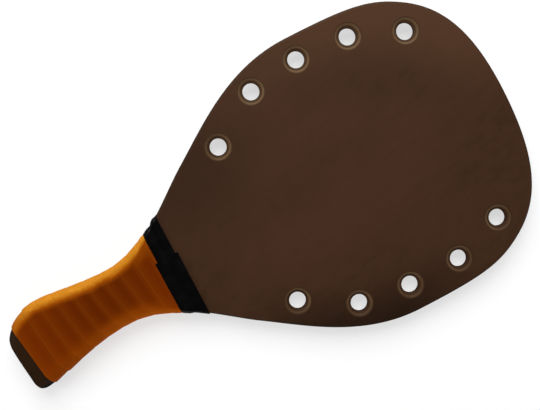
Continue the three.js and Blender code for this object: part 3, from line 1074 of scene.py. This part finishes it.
@dataclass
class Overgrip:
    """One orange strip wound up the handle, each turn lapping the last.

    The strip's section is given by its places across, and by its under and upper side's heights
    above the wood where it laps the turn before.
    """

    form: HandleForm = HandleForm()
    start_from_butt: float = 6.0
    end_from_butt: float = 141.4
    pitch: float = 13.5
    front_share: float = 0.9
    start_turn: float = -0.3
    most_turns: int = 14
    taper_turn: float = 0.45
    taper_start: float = 0.3
    lap_rise_turn: float = 0.25
    finest: int = 5
    across: Row = (
        0.0, 0.35, 0.9, 3.0, 7.5, 9.3, 11.2, 12.6, 13.2, 13.45, 13.85, 14.2, 15.5, 18.5, 21.0, 21.5,
    )
    under: Row = (
        1.52, 1.3, 1.08, 1.03, 1.02, 0.98, 0.82, 0.55, 0.4, 0.32, 0.22, 0.16, 0.12, 0.12, 0.14, 0.3,
    )
    upper: Row = (
        1.6, 1.69, 1.75, 1.82, 1.85, 1.84, 1.8, 1.68, 1.56, 1.42, 1.16, 0.97, 0.92, 0.92, 0.86,
        0.66,
    )
    rounded_from: float = 21.0
    seat: float = 0.12
    seat_top: float = 0.92
    middle_level: float = 1.0
    squeezes: tuple[Triple, ...] = ((130.5, 134.5, 0.5), (138.0, 140.6, 0.7))

    def edge_at(self, station: Array) -> Array:
        """Finds the strip's near edge, which moves on mostly over the front."""
        turns = np.floor(station / STATIONS_PER_TURN)
        within = station / STATIONS_PER_TURN - turns
        ease = (1 - np.cos(2 * math.pi * within)) / 2
        share = turns + within + (self.front_share - 0.5) * ease
        return self.start_from_butt + self.pitch * share

    def make(self, material: Material) -> None:
        """Winds the strip, trims it under the tape and dresses it.

        Args:
            material: Its finish.
        """
        first = round(self.start_turn * STATIONS_PER_TURN)
        last = self.most_turns * STATIONS_PER_TURN
        station = np.arange(first * self.finest, last * self.finest) / self.finest
        station = station[self.edge_at(station) < self.end_from_butt + 1]
        turn = (station - first) / STATIONS_PER_TURN
        lapped = eased(1 - (1 - turn) / self.lap_rise_turn)[:, None]
        full = np.clip(self.taper_start + turn / self.taper_turn, 0, 1)[:, None]
        across = np.array(self.across)
        seat_under = np.where(across > self.rounded_from, self.under, self.seat)
        seat_upper = np.minimum(self.upper, self.seat_top)
        under = seat_under + (np.array(self.under) - seat_under) * lapped
        upper = seat_upper + (np.array(self.upper) - seat_upper) * lapped
        u = np.concatenate([across, across[::-1]])
        level = np.concatenate([under, upper[:, ::-1]], axis=1)
        x = self.edge_at(station)[:, None] + full * u
        for start, full_at, share in self.squeezes:
            level = level * (1 - share * eased((x - start) / (full_at - start)))
        rows = self.form.skin(x, station[:, None], level)
        centre = self.form.skin(x.mean(axis=1), station, self.middle_level)
        length = np.concatenate([[0], np.cumsum(np.linalg.norm(np.diff(centre, axis=0), axis=1))])
        place = np.mod(station, STATIONS_PER_TURN)[:, None]
        behind = np.clip(STATIONS_PER_TURN - 1 - place, 0, EDGE_STATION)
        from_left = np.where(place <= STATIONS_PER_TURN / 2, place, behind)
        section = (from_left, EDGE_STATION - from_left + 0 * u)
        maps = {"strip": (length[:, None], u), "section": section}
        piece = laid_grid("overgrip_strip", rows, maps)
        kept_between(piece, 0, -self.pitch, self.end_from_butt)
        piece.data.materials.append(material)
        smoothed(piece, STRIP_ARRIS)
        hand_over(piece, "overgrip")


@dataclass
class FinishingTape:
    """A black strip round the overgrip's end, wider at its cut end on the front."""

    form: HandleForm = HandleForm()
    centre_from_butt: float = 141.8
    width: float = 15.9
    end_width: float = 19.9
    turns: float = 1.6
    around: float = 190.0
    widening_turns: float = 0.6
    end_offset: float = 12.6
    cut_slant: float = -3.7
    lean: float = 0.006
    lap_rise_turn: float = 0.25
    seat: float = 0.12
    grip_top: float = 0.98
    hollow: Point = (138.2, 141.0)
    sheet: float = 0.26
    layer: float = 0.28
    thin_edge_share: float = 0.03
    edge_sheet_share: float = 0.35
    bulge: float = 1.1
    bulge_at: float = 144.9
    bulge_half: float = 2.5
    finest: int = 5
    across: Row = (
        0, 0.015, 0.05, 0.14, 0.26, 0.38, 0.45, 0.5, 0.55, 0.6, 0.66, 0.72, 0.79, 0.86, 0.92, 0.97,
        0.99, 1.0,
    )

    def ground(self, x: Array, station: Array) -> Array:
        """Finds what the tape lies on: the wood, the overgrip's end, and a fold on the left."""
        start, full = self.hollow
        step = self.grip_top * (1 - eased((x - start) / (full - start)))
        folded = (1 + np.cos(2 * math.pi * station / STATIONS_PER_TURN)) / 2
        fold = self.bulge * np.exp(-(((x - self.bulge_at) / self.bulge_half) ** 4))
        return self.seat + step + fold * folded**2

    def make(self, material: Material) -> None:
        """Winds the strip and dresses it.

        Args:
            material: Its finish.
        """
        form = self.form
        at = np.array([self.centre_from_butt])
        face_y, far_y = (float(form.skin(at, s, 0)[0, 1]) for s in (FACE_START, FACE_END))
        per_y = (FACE_END - FACE_START) / (far_y - face_y)
        last = FACE_START + (self.end_offset - face_y) * per_y
        first = last + self.turns * STATIONS_PER_TURN
        count = int(self.turns * STATIONS_PER_TURN * self.finest)
        station = np.linspace(first, last, count + 1)
        turn = (first - station) / STATIONS_PER_TURN
        widening = eased(1 - (self.turns - turn) / self.widening_turns)
        width = (self.width + (self.end_width - self.width) * widening)[:, None]
        centre_y = form.skin(np.full(station.shape, at[0]), station, 0.0)[:, 1]
        centre = (self.centre_from_butt - self.lean * centre_y)[:, None]
        lapped = eased(1 - (1 - turn) / self.lap_rise_turn)[:, None]
        share = np.array(self.across)[None, :]
        x = centre + (share - 0.5) * width
        thin = np.minimum(np.minimum(share, 1 - share) / self.thin_edge_share, 1.0)
        lift = self.ground(x, station[:, None]) + lapped * self.layer
        middle = lift + self.sheet / 2
        edge = self.edge_sheet_share
        half = self.sheet / 2 * (edge + (1 - edge) * np.sqrt(thin))
        x = np.concatenate([x, x[:, ::-1]], axis=1)
        level = np.concatenate([middle - half, (middle + half)[:, ::-1]], axis=1)
        near_end = eased(1 - (station - last))[:, None]
        slant = near_end * self.cut_slant / width * (x - centre + width / 2) * abs(per_y)
        rows = form.skin(x, station[:, None] - slant, level)
        v = np.concatenate([share, share[:, ::-1]], axis=1) * width
        maps = {"strip": (turn[:, None] * self.around, v)}
        piece = laid_grid("finishing_tape_strip", rows, maps)
        piece.data.materials.append(material)
        smoothed(piece, STRIP_ARRIS)
        hand_over(piece, "finishing_tape")


# Studio


@dataclass
class Studio:
    """A pale floor, soft lights and the camera that looks down on the racket, in metres."""

    camera_at: Triple = (0.010284, 0.058303, 0.694828)
    camera_turn: Triple = (-0.0618, -0.0362, -0.4765)
    focal: float = 56.667
    sensor: float = 36.0
    clip: Point = (0.01, 50.0)
    floor_size: float = 8.0
    floor_level: float = -0.0003
    floor_tone: float = 0.93
    floor_glow: float = 0.577
    floor_shine: float = 1.085
    sky_shown: float = 0.86
    sky_light: float = 0.14
    lamps: tuple[tuple[str, Triple, Point, float], ...] = (
        ("key", (0.4, 1.22, 1.32), (1.4, 1.5), 41.5),
        ("butt side", (-1.06, 0.78, 0.9), (0.8, 0.6), 4),
        ("tip side", (1.2, -0.73, 0.7), (0.8, 0.6), 2.3),
        ("low front", (-0.5, -1.2, 0.35), (1.2, 0.4), 5),
    )

    def camera(self) -> None:
        """Sets the camera over the blade, turned so that the long axis climbs to the right."""
        data = bpy.data.cameras.new("camera")
        data.lens, data.sensor_width = self.focal, self.sensor
        data.clip_start, data.clip_end = self.clip
        camera = bpy.data.objects.new("camera", data)
        camera.location, camera.rotation_euler = self.camera_at, self.camera_turn
        bpy.context.scene.collection.objects.link(camera)
        bpy.context.scene.camera = camera

    def floor(self) -> None:
        """Lays the white floor, which glows for the camera but keeps the racket's shadow."""
        deselect()
        bpy.ops.mesh.primitive_plane_add(size=self.floor_size, location=(0, 0, self.floor_level))
        floor = bpy.context.object
        floor.name = "floor"
        material = bpy.data.materials.new("white floor")
        material.use_nodes = True
        material.node_tree.nodes.clear()
        wires = Wiring(material.node_tree)
        tone = self.floor_tone
        paint = wires.fed("BsdfDiffuse", (tone, tone, tone, 1)).outputs[0]
        glow = wires.fed("Emission", (1, 1, 1, 1), self.floor_shine).outputs[0]
        seen = wires.add("LightPath").outputs["Is Camera Ray"]
        mixed = wires.fed("MixShader", wires.times(seen, self.floor_glow), paint, glow)
        wires.fed("OutputMaterial", mixed.outputs[0])
        floor.data.materials.append(material)

    def lamp(self, name: str, at: Triple, size: Point, power: float) -> None:
        """Hangs a soft lamp that faces the racket, with its power in watts."""
        data = bpy.data.lights.new(name, "AREA")
        data.shape = "RECTANGLE"
        data.size, data.size_y = size
        data.energy = power
        lamp = bpy.data.objects.new(name, data)
        lamp.location = at
        lamp.rotation_euler = (-Vector(at)).to_track_quat("-Z", "Y").to_euler()
        bpy.context.scene.collection.objects.link(lamp)

    def sky(self) -> None:
        """Sets the pale world: white to the camera, dim as a light."""
        world = bpy.data.worlds.new("studio")
        world.use_nodes = True
        bpy.context.scene.world = world
        wires = Wiring(world.node_tree)
        seen = wires.add("LightPath").outputs["Is Camera Ray"]
        strength = wires.times(seen, self.sky_shown, self.sky_light)
        background = world.node_tree.nodes["Background"]
        wires.named(background, Strength=strength, Color=(1, 1, 1, 1))

    def make(self) -> None:
        """Sets up the camera, the floor, the sky, the lamps and the plain view."""
        self.camera()
        self.floor()
        self.sky()
        for lamp in self.lamps:
            self.lamp(*lamp)
        bpy.context.scene.view_settings.view_transform = "Standard"


def dress() -> None:
    """Builds every finish and piece in order."""
    groups = Groups()
    StainedWood(
        "stained face", light=(0.057, 0.0247, 0.0126), dark=(0.0375, 0.0175, 0.0079),
        warm=(0.0525, 0.0205, 0.01), tip_light=(0.075, 0.0335, 0.0158), rim=(0.019, 0.007, 0.0012),
    ).material(groups)
    StainedWood(
        "stained butt", light=(0.026, 0.0118, 0.0043), dark=(0.016, 0.007, 0.0023),
        warm=(0.023, 0.0095, 0.003), tip_light=(0.03, 0.0135, 0.005), rim=(0.004, 0.0018, 0.0008),
        seed=3.0,
    ).material(groups)
    dusk = (0.03, 0.011, 0.003)
    pale, tan = (0.15, 0.088, 0.043), (0.1, 0.055, 0.026)
    CutVeneer("cut face veneer", pale, tan, dusk).material(groups)
    plies = [
        ("pale", (0.1, 0.05, 0.02), (0.06, 0.028, 0.011)),
        ("brown", (0.12, 0.066, 0.03), (0.07, 0.035, 0.014)),
        ("core", (0.05, 0.022, 0.008), (0.03, 0.012, 0.004)),
    ]
    for name, tone, fibre in plies:
        CutVeneer(f"cut {name} ply", tone, fibre, dusk, seed=1.7).material(groups)
        tone, fibre = dimmed(tone, RIM_SHARE), dimmed(fibre, RIM_SHARE)
        CutVeneer(f"rim of {name} ply", tone, fibre, fibre, seed=0.6).material(groups)
    Blank().make(
        {
            "core_ply": ("brown_ply", "rim of core ply", "cut core ply"),
            "long_ply": ("pale_ply", "rim of pale ply", "cut pale ply"),
            "cross_ply": ("brown_ply", "rim of brown ply", "cut brown ply"),
            "face_veneer": ("stained_veneer", "stained face", "cut face veneer"),
            "handle_scale": ("stained_veneer", "stained butt", "cut face veneer"),
        }
    )
    grip = TackyGrip(
        "tacky overgrip", lit_flank=(0.44, 0.155, 0.007), between=(0.28, 0.06, 0.0007),
        lower=(0.56, 0.115, 0.0025), flat=(0.151, 0.0222, 0.0002),
        handled=(0.107, 0.0153, 0.0001), groove=(0.08, 0.011, 0.0002), edge=(0.62, 0.245, 0.022),
    )
    Overgrip().make(grip.material(groups))
    tape = StretchedTape("stretched tape", (0.0015, 0.0015, 0.0016), (0.004, 0.004, 0.004))
    FinishingTape().make(tape.material(groups))
    Studio().make()


if __name__ == "__main__":
    logging.basicConfig(level=logging.INFO, format="%(name)s: %(message)s")
    dress()
